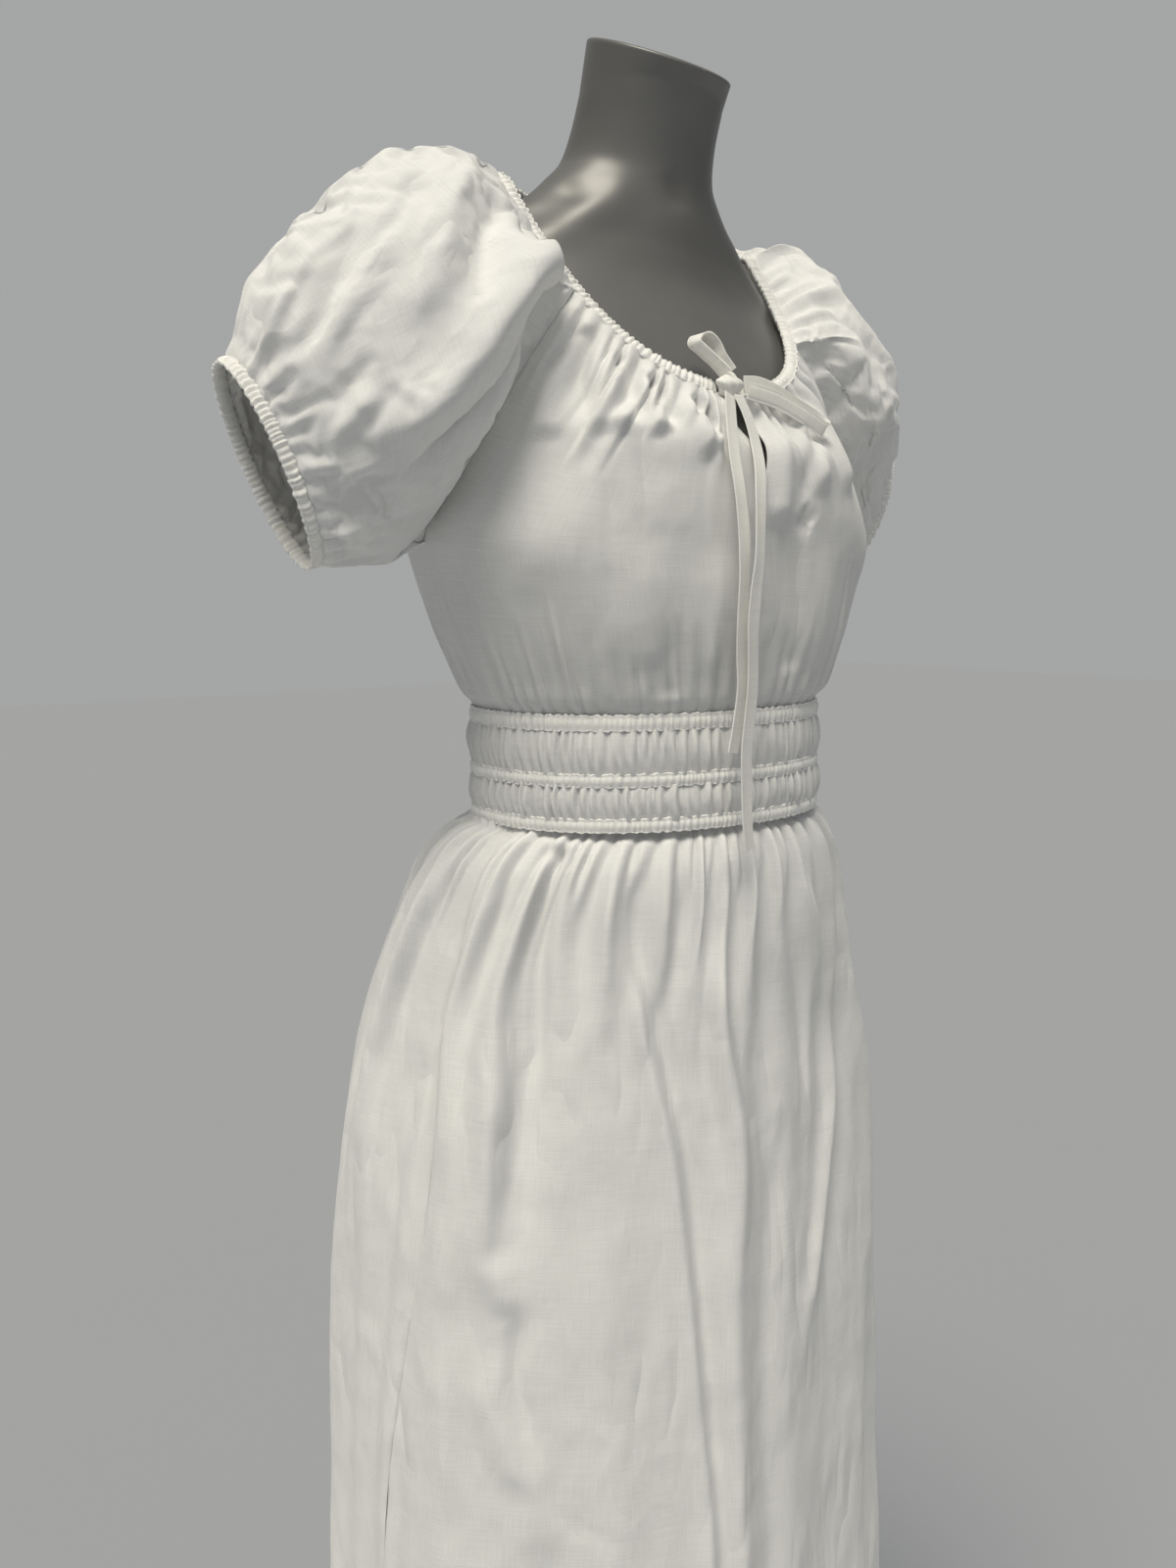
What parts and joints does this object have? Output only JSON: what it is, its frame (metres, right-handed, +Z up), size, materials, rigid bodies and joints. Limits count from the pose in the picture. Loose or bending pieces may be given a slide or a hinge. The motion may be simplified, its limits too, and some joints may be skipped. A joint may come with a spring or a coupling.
{
  "type": "peasant dress on a limbless dress form",
  "caption": "White cotton peasant dress with raglan puff sleeves, a drawn neckline with a tie, ruched waist bands and a gathered skirt, on a grey limbless dress form with a pole stand.",
  "frame": {"origin": "on the floor, at the middle of the stand's round base", "axes": "+Z up along the pole, -Y to the front of the dress, +X to the wearer's left"},
  "size_m": [0.5335, 0.395, 1.5089],
  "materials": {
    "cotton": "thin white crinkled cotton, matte",
    "tie_tape": "flat tape of the same white cotton, edge stitched",
    "form_plastic": "smooth dark grey with a soft gloss",
    "stand_metal": "satin grey metal"
  },
  "bodies": {
    "root": {"bodice_front": "cotton", "bodice_back": "cotton", "neck_casing": "cotton", "sleeve_right": "cotton", "cuff_casing_right": "cotton", "sleeve_left": "cotton", "cuff_casing_left": "cotton", "waist_casing_top": "cotton", "waist_casing_middle": "cotton", "waist_casing_low": "cotton", "waist_panel_upper": "cotton", "waist_panel_lower": "cotton", "skirt_front": "cotton", "skirt_back": "cotton", "tie_knot": "tie_tape", "tie_loop_up": "tie_tape", "tie_loop_side": "tie_tape", "tie_tail_short": "tie_tape", "tie_tail_long": "tie_tape", "form_torso": "form_plastic", "stand_pole": "stand_metal", "stand_hub": "stand_metal", "stand_base": "stand_metal"}
  },
  "joints": []
}
